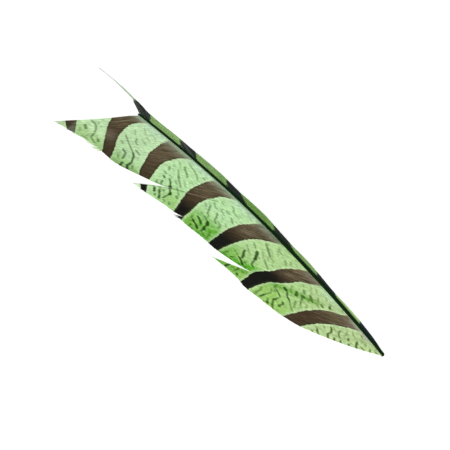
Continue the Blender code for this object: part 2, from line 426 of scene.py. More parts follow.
# Of a barb's left edge, ridge, right edge and underside: the place across it, as a share of its width, and
# the lift.
STRAND_OFFSETS = (-0.5, -0.15, 0.5, 0.0)
STRAND_LIFTS = (0.00002, 0.00007, -0.00003, -0.00005)
STRAND_CREASE = radians(80.0)
STRAND_STEPS = 92  # in a barb's length
STEP_CROWDING = 0.25  # how far the steps crowd towards the tip
FOOT = 0.00036  # the barbs start this far from the shaft's centre line, and further on at its edge
FOOT_AT_EDGE = 0.00006  # how far inside its edge
FEET_DROP = (48.0, 70.0)  # the stretch of the shaft where that changes, in millimetres
FOOT_LENGTH = 0.0045  # along the barb, over which it runs off the shaft
TIP_WIDTH = 0.30  # a barb's width at its tip, against its full width
TIP_TAPERS = (0.0003, 0.0011)  # the least and the most length over which it narrows to that
TIP_FULLNESS = 0.8  # 1 tapers straight, less is fuller
UNEVEN_TIPS = (0.0004, 0.0003)  # the most that a barb's tip falls short by, and that a clump's tips do
CLUMP_SIZES = (4, 13)  # a clump has from the first number of barbs to one below the second
CLUMP_SQUEEZE = 0.022  # how far a clump's tips draw together
CLUMP_FADE = 30  # and how soon that fades away from the tips
CLUMP_LIFT = 0.00005
TRACE_STEP = 0.00025  # between the places that a barb's path is summed up from
LONGEST = 0.0725  # of all the barbs
ROOT_SAMPLES = 4000  # places along the shaft that the barbs' number is summed up from
CAP_MAP = 0.003  # length on the map of a strip's closed end, and of the gap beside it

chance = np.random.default_rng(41)


def barb_angle(roots):
    along = roots / SHAFT_LENGTH
    butt = BUTT_SPREAD[0] * np.exp(-roots / BUTT_SPREAD[1])
    return BARB_ANGLE + butt + FAR_SPREAD[0] * along + FAR_SPREAD[1] * along**4


def lock_numbers(centres):
    """Which lock each root is in."""
    splits = [(lock["roots"][1] + after["roots"][0]) / 2.0 for lock, after in zip(LOCKS, LOCKS[1:])]
    return np.searchsorted(splits, centres)


def lock_pair(name, locks):
    """Each barb's lock's pair of values, for its first and its last barb."""
    return np.array([lock[name] for lock in LOCKS])[locks].T


def lock_share(roots, locks):
    """How far each root is on from its lock's first barb to its last."""
    first, last = lock_pair("roots", locks)
    return (roots - first) / (last - first)


def barb_lengths(roots, locks):
    return np.choose(locks, [read(lock["lengths"], roots) for lock in LOCKS])


def barb_turns(roots, centres, gone):
    """The heading of each barb, at the distances gone along it."""
    locks = lock_numbers(centres)
    share = lock_share(roots, locks)
    straight, run = (between(lock_pair(name, locks), share)[:, None] for name in ("straight", "run"))
    first, last = lock_pair("turn", locks)
    turn = first * (1.0 - share) ** TURN_FADE + last * np.abs(share) ** TURN_FADE
    heading = barb_angle(roots)[:, None] + turn[:, None] * np.sqrt(np.clip((gone - straight) / run, 0.0, 1.0))
    lengths = barb_lengths(roots, locks)[:, None]
    for root, reach, opening, fade in SPLITS:
        beside = np.where(centres < root, 1.0, -1.0) * np.exp(-np.abs(centres - root) / fade)
        opened = smooth((gone - lengths + reach) / (SPLIT_EASE * reach))
        heading = heading + opening * beside[:, None] * opened
    return heading


def trace(roots, centres, reached):
    """Plan places of lines that grow at the roots and run with the barbs at the centres, at the distances
    reached, as arrays of barb by step."""
    gone = np.arange(0.0, LONGEST, TRACE_STEP)[None, :]
    heading = barb_turns(roots, centres, gone + TRACE_STEP / 2.0)
    place = reached / TRACE_STEP
    before = np.clip(np.floor(place).astype(int), 0, gone.size - 1)
    places = []
    for steps, start in ((np.cos(heading), roots), (np.sin(heading), shaft_side(roots))):
        path = np.pad(np.cumsum(steps, axis=1), ((0, 0), (1, 0))) * TRACE_STEP + start[:, None]
        low, high = (np.take_along_axis(path, before + k, axis=1) for k in (0, 1))
        places.append(low + (high - low) * (place - before))
    return places


def sheet_height(roots, lengths, reached):
    """Height of the middle of the vane's sheet."""
    share = lock_share(roots, lock_numbers(roots))[:, None]
    out = np.clip(reached / lengths, 0.0, None)
    lift = TAIL_LIFT[1] * smooth((roots - TAIL_LIFT[0]) / (LAST_BARB - TAIL_LIFT[0]))
    margin = (SHEET_THICKNESS + lift)[:, None]
    level = root_level(roots)[:, None]
    corner = CORNER_LIFT * np.clip(share, 0.0, 1.0) ** CORNER_FADE[0] * out ** CORNER_FADE[1]
    wave = WAVE[0] * np.sin(2.0 * pi * (roots[:, None] / WAVE[1] + WAVE[2] * out)) * out**2
    return level + (margin - level) * out**2 + corner + wave - SHEET_MIDDLE


def strand_roots():
    """Roots of the broad vane's barbs, evenly spaced square to the barbs, and the gap between neighbours."""
    fine = np.linspace(FIRST_BARB, LAST_BARB, ROOT_SAMPLES)
    density = np.sin(barb_angle(fine)) / STRAND_SPACING
    count = np.concatenate([[0.0], np.cumsum((density[1:] + density[:-1]) / 2.0 * np.diff(fine))])
    roots = np.interp(np.arange(int(count[-1])) + 0.5, count, fine)
    return roots, STRAND_SPACING / np.sin(barb_angle(roots))


def clumps(roots):
    """Splits a row of barbs into clumps: each barb's clump number and that clump's middle root."""
    number = np.zeros(len(roots), int)
    start = made = 0
    while start < len(roots):
        stop = start + int(chance.integers(*CLUMP_SIZES))
        number[start:stop] = made
        start, made = stop, made + 1
    middles = np.array([roots[number == k].mean() for k in range(made)])
    return number, middles[number]


def tip_widths(left):
    """The barbs' widths against their full width, by the length that is left to the tip."""
    taper = between(TIP_TAPERS, chance.random(len(left))[:, None])
    return TIP_WIDTH + (1.0 - TIP_WIDTH) * np.clip(left / taper, 0.0, 1.0) ** TIP_FULLNESS


def strip_map(strips, steps):
    """The strips lie side by side on the map: upper sides in its lower half, undersides in its upper half."""

    def places(*corners):
        pairs = [np.stack(np.broadcast_arrays(*corner), axis=-1) for corner in corners]
        return np.stack(pairs, axis=-2).reshape(-1, 2)

    along = between((2.0 * CAP_MAP, 1.0 - 2.0 * CAP_MAP), np.linspace(0.0, 1.0, steps))[:, None]
    before, later = along[:-1], along[1:]
    # Across a strip's row, for each of its four walls: where it starts, where it ends, and which half.
    across = np.array([(0.0, 0.5, 0.0), (0.5, 1.0, 0.0), (1.0, 0.5, 0.5), (0.5, 0.0, 0.5)])
    rows = np.arange(strips)[:, None, None]
    low, high = (across[:, 2] + 0.5 * (rows + across[:, k]) / strips for k in (0, 1))
    walls = places((before, low), (before, high), (later, high), (later, low))
    row = 0.5 * np.arange(strips) / strips
    top = row + 0.5 / strips
    caps = [
        places((left, row), (right, row), (right, top), (left, top))
        for left, right in ((0.0, CAP_MAP), (1.0 - CAP_MAP, 1.0))
    ]
    return np.concatenate([walls, *caps])


def closed_strips(name, edges, layers):
    """A mesh of closed strips. edges is an array of strip, step, edge and place, with the left edge first,
    then the ridge, the right edge and the underside. layers holds the numbers for the material, like it."""
    strips, steps = edges.shape[:2]
    index = np.arange(strips * steps * 4).reshape(strips, steps, 4)
    after = np.roll(index, -1, axis=2)
    walls = np.stack([index[:, :-1], after[:, :-1], after[:, 1:], index[:, 1:]], axis=-1).reshape(-1, 4)
    faces = np.concatenate([walls, index[:, 0, ::-1], index[:, -1]]).tolist()
    return make_mesh(name, edges, faces, STRAND_CREASE, layers, strip_map(strips, steps))


# The dark bars, as (t, near edge, far edge) in millimetres of the plan.
BARS = (
    ((-3, 12.5, 25.0), (0, 16.6, 27.8), (3, 22.2, 33.8), (6, 26.9, 37.7), (9, 30.7, 40.8), (15, 36.4, 45.1),
     (21, 39.8, 48.8)),
    ((-3, 45.5, 56.8), (0, 50.0, 61.0), (3, 54.9, 64.2), (6, 57.3, 66.7), (9, 60.0, 68.8), (12, 63.4, 71.7),
     (15, 66.5, 74.3), (18, 68.0, 75.2), (21, 69.5, 75.6), (27, 71.3, 76.6)),
    ((-3, 76.0, 90.0), (3, 85.2, 95.8), (9, 90.2, 98.9), (15, 93.0, 100.4), (21, 95.4, 101.2)),
    ((-3, 107.8, 120.8), (0, 112.2, 123.2), (3, 114.7, 124.5), (6, 116.8, 125.8), (9, 118.0, 126.5),
     (15, 118.7, 126.0), (21, 119.0, 125.0)),
    ((-3, 135.4, 149.6), (0, 139.7, 151.8), (3, 142.4, 152.9), (6, 144.2, 153.5), (9, 145.4, 153.9),
     (15, 145.2, 152.5), (21, 143.9, 150.2), (24.5, 141.6, 146.0)),
    ((0, 165.2, 184.0), (5, 169.8, 181.6), (10, 171.1, 179.9), (15, 170.7, 178.3), (20, 168.2, 175.3),
     (26, 166.0, 171.4)),
    ((20, 193.6, 196.5), (24, 191.0, 196.0), (28, 188.3, 195.0), (30, 187.4, 192.2), (32, 186.2, 188.6)),
)
BAR_REACH = 3.0  # past those places their edges curve on for up to this, and then run square to the shaft
SLIP = 0.22  # on a single barb the bars lie off along the shaft by up to this, in millimetres


def smooth_read(table, place):
    """Reads a table of rows with a smooth curve through them, one column of values at a time."""
    table = np.array(table, float)
    places = table[:, 0]
    slopes = np.gradient(table[:, 1:], places, axis=0)
    at = np.clip(np.searchsorted(places, place) - 1, 0, len(places) - 2)
    gap = (places[at + 1] - places[at])[..., None]
    v = np.clip((place - places[at])[..., None] / gap, -0.5, 1.5)
    start, end = table[at, 1:], table[at + 1, 1:]
    ease = v * v * (3.0 - 2.0 * v)
    sway = slopes[at] * v * (1.0 - v) ** 2 - slopes[at + 1] * v * v * (1.0 - v)
    return start + (end - start) * ease + gap * sway


def bar_distance(s, t):
    """How far along the shaft a place is from the nearest bar's edge, in millimetres, and below 0 inside. The
    second value is 1 where that is the bar's far edge."""
    nearest, at_far = np.full(s.shape, np.inf), np.zeros(s.shape)
    for bar in BARS:
        edges = smooth_read(bar, np.clip(t, bar[0][0] - BAR_REACH, bar[-1][0] + BAR_REACH))
        before, past = edges[..., 0] - s, s - edges[..., 1]
        away = np.maximum(before, past)
        at_far = np.where(away < nearest, past > before, at_far)
        nearest = np.minimum(away, nearest)
    return nearest, at_far


# The wavy lines between the bars. On one barb such a line is a dark mark a fraction of a millimetre long, and
# the barbs beside it carry it on. Of the boldest lines, in millimetres: half the thickness of a mark, its
# darkness, and the places in the plan that the line runs through.
BOLD_LINES = (
    (0.40, 0.85, (1.9, 1.9), (2.9, 1.4)),
    (0.42, 0.90, (5.2, 3.6), (6.0, 2.8)),
    (0.42, 0.80, (7.9, 5.1), (9.2, 5.1), (10.4, 4.8)),
    (0.60, 0.50, (8.6, 3.3), (9.6, 2.3)),
    (0.45, 0.95, (11.4, 7.0), (12.5, 6.0), (13.0, 5.0), (13.5, 4.2)),
    (0.45, 0.85, (15.0, 8.7), (15.8, 7.8)),
    (0.55, 0.85, (16.9, 7.2), (17.7, 6.4)),
    (0.45, 0.90, (18.8, 10.6), (19.8, 9.7)),
    (0.45, 0.95, (22.0, 12.0), (23.0, 10.9)),
    (0.45, 0.95, (25.0, 13.3), (26.7, 12.0), (26.0, 10.2), (26.9, 8.7), (28.0, 8.0)),
    (0.42, 0.90, (29.5, 15.4), (31.2, 14.7), (32.4, 13.5)),
    (0.40, 0.75, (32.7, 16.6), (33.6, 15.9)),
    (0.38, 0.80, (20.8, 9.2), (22.9, 8.1), (23.3, 6.2)),
    (0.32, 0.55, (20.0, 6.0), (20.4, 4.5)),
    (0.34, 0.60, (29.8, 11.0), (30.8, 10.2)),
    (0.40, 0.75, (8.8, 3.0), (10.2, 2.5)),
    (0.38, 0.65, (6.2, 2.1), (7.2, 2.6)),
    (0.40, 0.80, (12.9, 1.2), (14.2, 0.6)),
    (0.36, 0.55, (16.6, 3.5), (18.2, 2.7)),
    (0.55, 0.95, (34.6, 2.3), (35.7, 1.2)),
    (0.50, 0.85, (37.6, 4.3), (39.3, 3.7), (41.0, 4.0)),
    (0.36, 0.60, (41.2, 3.8), (42.8, 2.4)),
    (0.45, 0.35, (38.6, 0.8), (39.4, -0.1)),
    (0.40, 0.40, (44.8, 1.2), (46.2, 0.2), (47.8, -0.2)),
    (0.45, 0.35, (48.0, 2.6), (48.8, 1.4)),
    (0.55, 0.40, (51.8, 3.8), (52.8, 2.8)),
    (0.34, 0.45, (43.5, 9.6), (44.2, 8.8)),
    (0.55, 0.90, (43.0, 6.1), (44.6, 5.6), (46.5, 4.2)),
    (0.28, 0.60, (47.0, 16.2), (49.6, 15.1), (51.4, 13.9)),
    (0.40, 0.85, (51.5, 13.8), (53.2, 13.1), (54.6, 12.4), (55.8, 11.2)),
    (0.70, 1.00, (56.6, 11.2), (58.4, 10.4)),
    (0.52, 0.65, (49.0, 12.4), (49.7, 11.3)),
    (0.36, 0.70, (46.4, 11.2), (47.6, 9.8), (48.3, 8.2)),
    (0.75, 1.00, (47.7, 8.1), (48.9, 6.9)),
    (0.65, 1.00, (51.5, 9.4), (52.6, 7.4)),
    (0.50, 0.75, (49.0, 6.0), (50.8, 4.4)),
    (0.34, 0.50, (55.2, 9.0), (56.0, 8.2)),
    (0.50, 0.80, (9.5, 3.2), (8.6, 2.3)),
    (0.50, 0.85, (11.1, 6.9), (12.3, 7.0)),
    (0.42, 0.80, (4.9, 3.9), (6.0, 3.5)),
    (0.46, 0.80, (55.4, 21.8), (56.7, 21.1), (57.3, 20.0), (58.0, 19.0)),
    (0.78, 0.95, (58.0, 18.9), (57.5, 17.5)),
    (0.38, 0.85, (57.4, 17.6), (56.8, 16.2)),
    (0.32, 0.85, (56.4, 15.4), (58.4, 14.6), (60.8, 13.8)),
    (0.60, 0.95, (59.0, 22.1), (59.9, 21.2)),
    (0.36, 0.70, (60.0, 21.1), (60.6, 19.8)),
    (0.56, 0.95, (64.1, 22.5), (63.6, 21.2), (62.9, 19.6)),
    (0.44, 0.70, (62.7, 19.2), (61.4, 16.9)),
    (0.40, 0.55, (61.5, 16.4), (62.9, 15.6)),
    (0.60, 0.80, (53.6, 19.3), (54.0, 18.4), (53.0, 17.5), (53.8, 16.1)),
    (0.48, 0.50, (63.9, 0.4), (65.2, -0.9)),
    (0.48, 0.60, (65.4, 2.4), (66.6, 1.5), (68.0, 0.7)),
    (0.46, 0.60, (70.7, -0.3), (72.4, -0.6), (74.3, -1.2)),
    (0.50, 0.40, (71.2, 5.6), (72.2, 4.9), (74.0, 4.8)),
    (0.40, 0.60, (70.6, 9.8), (72.9, 8.9), (75.4, 7.6)),
    (0.46, 0.85, (74.1, 4.7), (76.7, 3.3), (80.5, 1.3)),
    (0.38, 0.80, (76.7, 14.3), (78.4, 13.7), (78.7, 12.4), (78.6, 11.4)),
    (0.68, 1.00, (78.7, 11.2), (79.2, 9.9), (79.9, 8.5), (80.9, 7.1)),
    (0.60, 0.30, (82.0, 11.0), (83.2, 10.2)),
    (0.34, 0.65, (82.4, 6.7), (85.0, 5.2)),
    (0.46, 1.00, (81.2, 17.4), (83.2, 16.1), (85.8, 15.4)),
    (0.50, 0.90, (84.0, 14.9), (84.3, 13.5), (85.3, 12.4), (85.7, 10.9)),
    (0.50, 0.95, (87.3, 17.3), (88.9, 18.8)),
    (0.40, 0.40, (88.6, 15.0), (89.2, 14.2)),
    (0.40, 0.40, (86.0, 9.0), (86.8, 8.2)),
    (0.50, 0.90, (79.8, 22.8), (80.4, 22.0)),
    (0.38, 0.75, (82.2, 21.8), (81.6, 20.8), (81.6, 19.8)),
    (0.60, 1.00, (87.2, 23.8), (86.9, 22.6), (86.2, 21.5)),
    (0.34, 0.60, (98.5, 2.1), (103.0, 1.7), (103.8, 0.3), (105.5, 0.0)),
    (0.42, 0.65, (99.3, 6.0), (101.8, 4.4)),
    (0.40, 0.55, (103.4, 3.9), (106.0, 3.5)),
    (0.36, 0.50, (105.0, 6.0), (108.0, 5.3), (107.8, 3.8)),
    (0.40, 0.50, (109.3, 2.4), (110.8, 1.9)),
    (0.36, 0.55, (109.8, 6.4), (111.5, 6.0), (113.3, 4.7)),
    (0.36, 0.35, (103.3, 9.2), (104.8, 8.5)),
    (0.32, 0.70, (105.3, 11.8), (107.0, 11.0), (107.3, 9.3), (108.5, 7.3)),
    (0.34, 0.70, (110.3, 11.6), (111.8, 11.2), (112.8, 9.0), (113.6, 7.0)),
    (0.45, 0.80, (108.2, 19.8), (107.8, 18.6)),
    (0.60, 1.00, (107.4, 18.6), (108.3, 16.9)),
    (0.50, 0.95, (108.4, 16.8), (107.9, 15.6)),
    (0.72, 1.00, (107.6, 15.6), (109.0, 13.9)),
    (0.36, 0.70, (108.6, 13.9), (110.4, 13.6), (112.4, 13.1)),
    (0.50, 1.00, (110.2, 20.3), (112.0, 19.1), (114.0, 18.8), (115.2, 18.1)),
    (0.46, 0.95, (110.5, 17.2), (112.0, 16.2), (114.6, 15.4)),
    (0.40, 0.70, (114.2, 21.8), (114.3, 20.5)),
    (0.40, 0.50, (105.4, 20.4), (107.0, 19.7)),
    (0.45, 0.60, (124.3, 0.2), (125.7, -0.3)),
    (0.38, 0.65, (127.1, 2.7), (129.0, 1.3), (131.8, 0.5), (135.4, -0.1)),
    (0.36, 0.35, (126.8, 5.8), (129.0, 5.2)),
    (0.45, 0.70, (131.5, 5.5), (133.4, 4.1), (135.1, 3.6), (136.2, 2.2)),
    (0.34, 0.55, (138.4, 3.3), (139.8, 2.6)),
    (0.30, 0.65, (130.4, 11.3), (132.3, 9.9), (134.2, 8.9)),
    (0.46, 0.75, (134.3, 8.8), (135.4, 7.8)),
    (0.30, 0.65, (135.5, 7.7), (136.2, 6.9), (137.6, 5.8)),
    (0.34, 0.35, (137.1, 11.3), (137.3, 10.2)),
    (0.50, 0.35, (139.9, 6.0), (141.0, 5.5)),
    (0.45, 0.60, (140.7, 9.1), (142.0, 7.4)),
    (0.42, 0.60, (140.4, 11.3), (142.0, 11.0)),
    (0.45, 0.80, (139.6, 13.4), (140.9, 12.7)),
    (0.40, 0.70, (139.0, 16.9), (139.6, 14.9)),
    (0.46, 0.85, (133.4, 21.3), (132.9, 19.4), (132.3, 18.2)),
    (0.75, 1.00, (131.9, 18.2), (132.4, 16.5)),
    (0.36, 0.90, (132.6, 16.8), (133.7, 15.6)),
    (0.75, 1.00, (133.6, 15.8), (134.9, 14.2)),
    (0.36, 0.85, (134.9, 14.2), (135.9, 13.0), (137.6, 12.0)),
    (0.50, 0.90, (134.7, 22.9), (135.7, 21.2)),
    (0.50, 0.85, (136.2, 20.9), (137.5, 19.3)),
    (0.50, 0.60, (128.6, 21.6), (129.8, 20.4)),
    (0.50, 0.50, (131.4, 22.2), (132.2, 21.4)),
    (0.50, 0.55, (128.0, 16.6), (129.0, 15.6)),
    (0.45, 0.70, (137.2, 23.2), (137.8, 22.2)),
    (0.45, 0.60, (135.4, 18.5), (136.1, 17.7)),
    (0.50, 0.95, (138.8, 21.9), (140.1, 20.2)),
    (0.50, 0.50, (128.4, 21.5), (129.6, 20.8)),
    (0.30, 0.35, (155.3, 3.7), (157.4, 2.8)),
    (0.30, 0.35, (157.8, 5.8), (160.5, 5.2)),
    (0.30, 0.35, (161.6, 4.5), (164.5, 2.8)),
    (0.30, 0.45, (157.8, 8.3), (161.6, 7.7)),
    (0.32, 0.40, (165.3, 8.2), (167.4, 6.6)),
    (0.32, 0.60, (160.8, 11.2), (162.8, 10.8), (163.3, 9.1)),
    (0.36, 0.60, (156.6, 14.2), (159.9, 13.6)),
    (0.45, 0.40, (166.6, 15.8), (168.6, 15.2)),
    (0.55, 0.90, (156.2, 23.4), (157.6, 21.9), (157.0, 19.6)),
    (0.40, 0.85, (157.0, 19.4), (158.3, 16.6), (159.9, 15.6)),
    (0.32, 0.62, (160.2, 15.4), (164.5, 13.7), (168.9, 11.6)),
    (0.50, 0.80, (160.3, 24.6), (160.3, 22.4)),
    (0.42, 0.70, (161.6, 21.6), (162.0, 19.5), (162.4, 18.2), (164.9, 17.8)),
    (0.36, 0.45, (163.3, 22.8), (164.5, 21.6)),
    (0.36, 0.50, (154.5, 21.6), (155.5, 20.2)),
    (0.60, 0.70, (176.0, 23.9), (177.4, 22.9)),
    (0.42, 0.60, (176.8, 25.6), (180.3, 24.7)),
    (0.55, 0.72, (180.5, 24.5), (180.6, 22.0)),
    (0.46, 0.62, (180.7, 21.9), (181.2, 20.3), (182.8, 18.7), (186.2, 18.5)),
    (0.65, 0.75, (184.9, 23.7), (187.0, 22.2)),
    (0.50, 0.45, (181.4, 26.6), (184.4, 27.3)),
    (0.50, 0.35, (186.4, 26.4), (187.8, 25.0)),
    (0.40, 0.30, (182.0, 17.4), (183.0, 16.4)),
)
BOLD_SWELL = (0.90, 1.40)  # the least and the most of that thickness that a mark has
MARK_SCATTER = 0.14  # of a bold line's marks along the barbs
MARK_TAPER = (0.60, 0.25)  # at a bold line's ends, and how much fuller each next barb's mark is
BOLD_CLEAR = 1.5  # the least distance between two marks on one barb
PAST_TIP = 0.6  # a line's place may lie this far past a barb's tip
NO_MARK = 9.0  # the distance that stands for a barb without a mark
# The finer lines follow one another along the shaft at this pitch. Each lies further along the closer it
# comes to the shaft, by pairs of the height above the shaft and that lead, and they sway.
LINE_PITCH = 4.1
LINE_LEAD = ((0.0, 0.0), (4.0, 10.0), (16.0, 28.0), (20.0, 31.0), (30.0, 32.5))
LINE_SWAYS = ((1.3, 19.0, 13.0), (0.5, 8.0, 6.0))  # how far, and over what lengths along and across
LINE_STEP = 0.5  # between the places along a barb that are tried
LINE_STRENGTH = (0.45, 0.50)  # a line's usual strength, and how far it swells and shrinks along it
LINE_BREAK = 0.60  # it is broken off where it would be weaker than this
LINE_SWELL = 4.0  # over about this many barbs
LINE_SLIPS = (0.10, 0.05)  # a clump's marks and a barb's marks lie off by about this
# Between two heights above the shaft, half their thickness and their darkness grow from the first value to
# the second. Both follow the strength as well, by the least, the growth and the most.
LINE_HEIGHTS = (6.0, 20.0)
LINE_HALVES, HALF_BY_STRENGTH = (0.34, 0.52), (0.3, 0.7, 1.3)
LINE_DARKNESS, DARK_BY_STRENGTH = (0.24, 0.46), (0.6, 0.5, 1.2)
LINE_UNEVEN = (0.85, 1.15)  # the least and the most of its thickness that a mark has
LINE_FADED = (150.0, 0.45)  # past this s their darkness is only this share
BAR_CLEAR = 1.0  # the lines stop this far from the bars
SHAFT_CLEAR = 1.3  # and from the shaft's centre line


class Lines:
    """The marks of all the wavy lines, kept barb by barb: how far along it, half the length and darkness."""

    def __init__(self, roots, clump):
        self.gone = np.arange(0.0, LONGEST, LINE_STEP / MM)
        s, t = trace(roots, roots, np.broadcast_to(self.gone, (len(roots), len(self.gone))))
        self.s, self.t = s * MM, t * MM
        self.run, self.rise = (np.gradient(way, axis=1) / LINE_STEP for way in (self.s, self.t))
        self.lengths = barb_lengths(roots, lock_numbers(roots)) * MM
        self.slips = LINE_SLIPS[0] * chance.normal(size=clump[-1] + 1)[clump]
        self.slips += LINE_SLIPS[1] * chance.normal(size=len(roots))
        self.marks = [[] for _ in roots]
        for half, dark, *places in BOLD_LINES:
            self.draw(half, dark, places)
        self.fill()

    def barb_place(self, s, t):
        """The barb that passes a plan place, and how far along it that is."""
        far = np.hypot(self.s - s, self.t - t)
        far[self.gone[None, :] * MM > self.lengths[:, None] + PAST_TIP] = np.inf
        at = np.unravel_index(np.argmin(far), far.shape)
        along = (s - self.s[at]) * self.run[at] + (t - self.t[at]) * self.rise[at]
        return at[0], at[1] * LINE_STEP + along

    def clear(self, barb, gone):
        return all(abs(mark[0] - gone) > BOLD_CLEAR for mark in self.marks[barb])

    def draw(self, half, dark, places):
        """A line through plan places that are listed."""
        ends = [self.barb_place(*place) for place in places]
        first, last = min(ends)[0], max(ends)[0]
        for low, high in (sorted(pair) for pair in zip(ends, ends[1:])):
            for k in range(low[0], high[0] + 1):
                share = (k - low[0]) / max(high[0] - low[0], 1)
                place = between((low[1], high[1]), share) + MARK_SCATTER * (chance.random() - 0.5)
                taper = min(1.0, MARK_TAPER[0] + MARK_TAPER[1] * min(k - first, last - k))
                if self.clear(k, place):
                    self.marks[k].append((place, half * taper * chance.uniform(*BOLD_SWELL), dark))

    def fill(self):
        """The finer lines: a barb has a mark where it crosses one, unless the line is broken off there."""
        height = self.t - shaft_side(self.s / MM) * MM
        along = self.s + read(LINE_LEAD, height)
        for sway, length, width in LINE_SWAYS:
            along = along + sway * np.sin(2.0 * pi * self.s / length) * np.cos(2.0 * pi * height / width)
        phase = along / LINE_PITCH
        whole = np.floor(phase)
        free = (height > SHAFT_CLEAR) & (bar_distance(self.s, self.t)[0] > BAR_CLEAR)
        free &= self.gone * MM < self.lengths[:, None]
        barbs, steps = np.nonzero((whole[:, 1:] != whole[:, :-1]) & free[:, 1:] & free[:, :-1])
        reach = int(3 * LINE_SWELL)
        window = np.exp(-0.5 * (np.arange(-reach, reach + 1) / LINE_SWELL) ** 2)
        window /= np.sqrt(np.sum(window**2))
        swell = chance.normal(size=(int(whole.max()) + 1, len(whole)))
        swell = np.array([np.convolve(row, window, mode="same") for row in swell])
        for barb, step in zip(barbs, steps):
            before, after = phase[barb, step : step + 2]
            number = max(whole[barb, step : step + 2])
            gone = LINE_STEP * (step + (number - before) / (after - before)) + self.slips[barb]
            strength = LINE_STRENGTH[0] + LINE_STRENGTH[1] * swell[int(number), barb]
            if strength < LINE_BREAK or not self.clear(barb, gone):
                continue
            outward = (height[barb, step] - LINE_HEIGHTS[0]) / (LINE_HEIGHTS[1] - LINE_HEIGHTS[0])
            outward = min(max(outward, 0.0), 1.0)
            half, dark = (
                between(pair, outward) * min(least + growth * strength, most)
                for pair, (least, growth, most) in (
                    (LINE_HALVES, HALF_BY_STRENGTH), (LINE_DARKNESS, DARK_BY_STRENGTH)
                )
            )
            if self.s[barb, step] > LINE_FADED[0]:
                dark *= LINE_FADED[1]
            self.marks[barb].append((gone, half * chance.uniform(*LINE_UNEVEN), dark))

    def place_steps(self, reached):
        """Moves the steps of each barb that are nearest to its marks onto them."""
        for steps, marks in zip(reached, self.marks):
            for place in (mark[0] / MM for mark in marks):
                if steps[2] < place < steps[-2]:
                    steps[np.argmin(np.abs(steps - place))] = place
            steps.sort()
        return reached

    def read(self, reached):
        """For each step: how far outside the nearest mark it is, in millimetres, and that mark's darkness."""
        far, dark = np.full(reached.shape, NO_MARK), np.zeros(reached.shape)
        for barb, marks in enumerate(self.marks):
            for gone, half, strength in marks:
                away = np.abs(reached[barb] * MM - gone) - half
                closer = away < far[barb]
                far[barb][closer] = away[closer]
                dark[barb][closer] = strength
        return far, dark


def layer(shape, *values):
    """Three numbers for each point of a mesh."""
    return np.stack([np.broadcast_to(value, shape) for value in values], axis=-1)


def barb_layers(mark, roots, reached, luck, at_far):
    """What a vane's material reads at each point of its barbs: its mark, the barb's root, the distance gone
    along it and its luck, and whether it is on the ridge, on the underside and by a bar's far edge."""
    shape = mark[0].shape
    return {
        "mark": layer(shape, *mark),
        "strand": layer(shape, roots[:, None, None] * MM, reached[..., None] * MM, luck[:, None, None]),
        "form": layer(shape, (0.0, 1.0, 0.0, 0.5), (0.0, 0.0, 0.0, 1.0), at_far),
    }


def build_broad_vane():
    roots, gaps = strand_roots()
    count = len(roots)
    clump, middle = clumps(roots)
    locks = lock_numbers(roots)
    short = UNEVEN_TIPS[0] * chance.random(count) ** 2 + UNEVEN_TIPS[1] * chance.random(count)[clump]
    lengths = (barb_lengths(roots, locks) - short)[:, None]
    lines = Lines(roots, clump)
    share = np.linspace(0.0, 1.0, STRAND_STEPS + 1)[None, :]
    reached = lines.place_steps(lengths * share * (1.0 + STEP_CROWDING - STEP_CROWDING * share))
    out = reached / lengths
    half = 0.5 * STRAND_OVERLAP * gaps
    paths = (trace(roots + side, roots, reached) for side in (-half, half, 0.0))
    left, right, ridge = (np.stack(path, axis=-1) for path in paths)
    square = right - left
    # Towards the margin the barbs of a clump draw together, and each barb narrows to its tip.
    drawn = ((middle - roots) / (2.0 * half) * CLUMP_SQUEEZE)[:, None] * out**CLUMP_FADE
    width = tip_widths(lengths - reached)
    centre = ridge + square * drawn[..., None]
    plan = np.stack([centre + square * (width * offset)[..., None] for offset in STRAND_OFFSETS], axis=2)
    # The first barbs' feet reach up the shaft's shoulder, and further along they stay on its flank.
    edge = shaft_size(roots)[0] / 2.0 - FOOT_AT_EDGE
    foot = between((FOOT, edge), smooth((roots * MM - FEET_DROP[0]) / (FEET_DROP[1] - FEET_DROP[0])))
    plan[..., 1] += foot[:, None, None] * np.clip(1.0 - reached / FOOT_LENGTH, 0.0, 1.0)[..., None]
    height = sheet_height(roots, lengths, reached)
    height = height + (CLUMP_LIFT * (chance.random(count)[clump] - 0.5))[:, None] * out
    s, t = plan[..., 0], plan[..., 1]
    edges = in_part(s, t, height[..., None] + np.array(STRAND_LIFTS) * width[..., None])

    slip = SLIP * (chance.random(count) - 0.5) * 2.0
    along = s * MM + slip[:, None, None]
    from_bar, at_far = bar_distance(along, t * MM)
    mark = (along, t * MM - shaft_side(s) * MM, from_bar)
    luck = 0.6 * chance.random(count) + 0.4 * chance.random(count)[clump]
    layers = barb_layers(mark, roots, reached, luck, at_far)
    layers["line"] = layer(s.shape, *(values[..., None] for values in lines.read(reached)), 0.0)
    for k in range(len(LOCKS)):
        own = locks == k
        picked = {name: values[own] for name, values in layers.items()}
        yield closed_strips(f"broad_vane_{k + 1}", edges[own], picked)


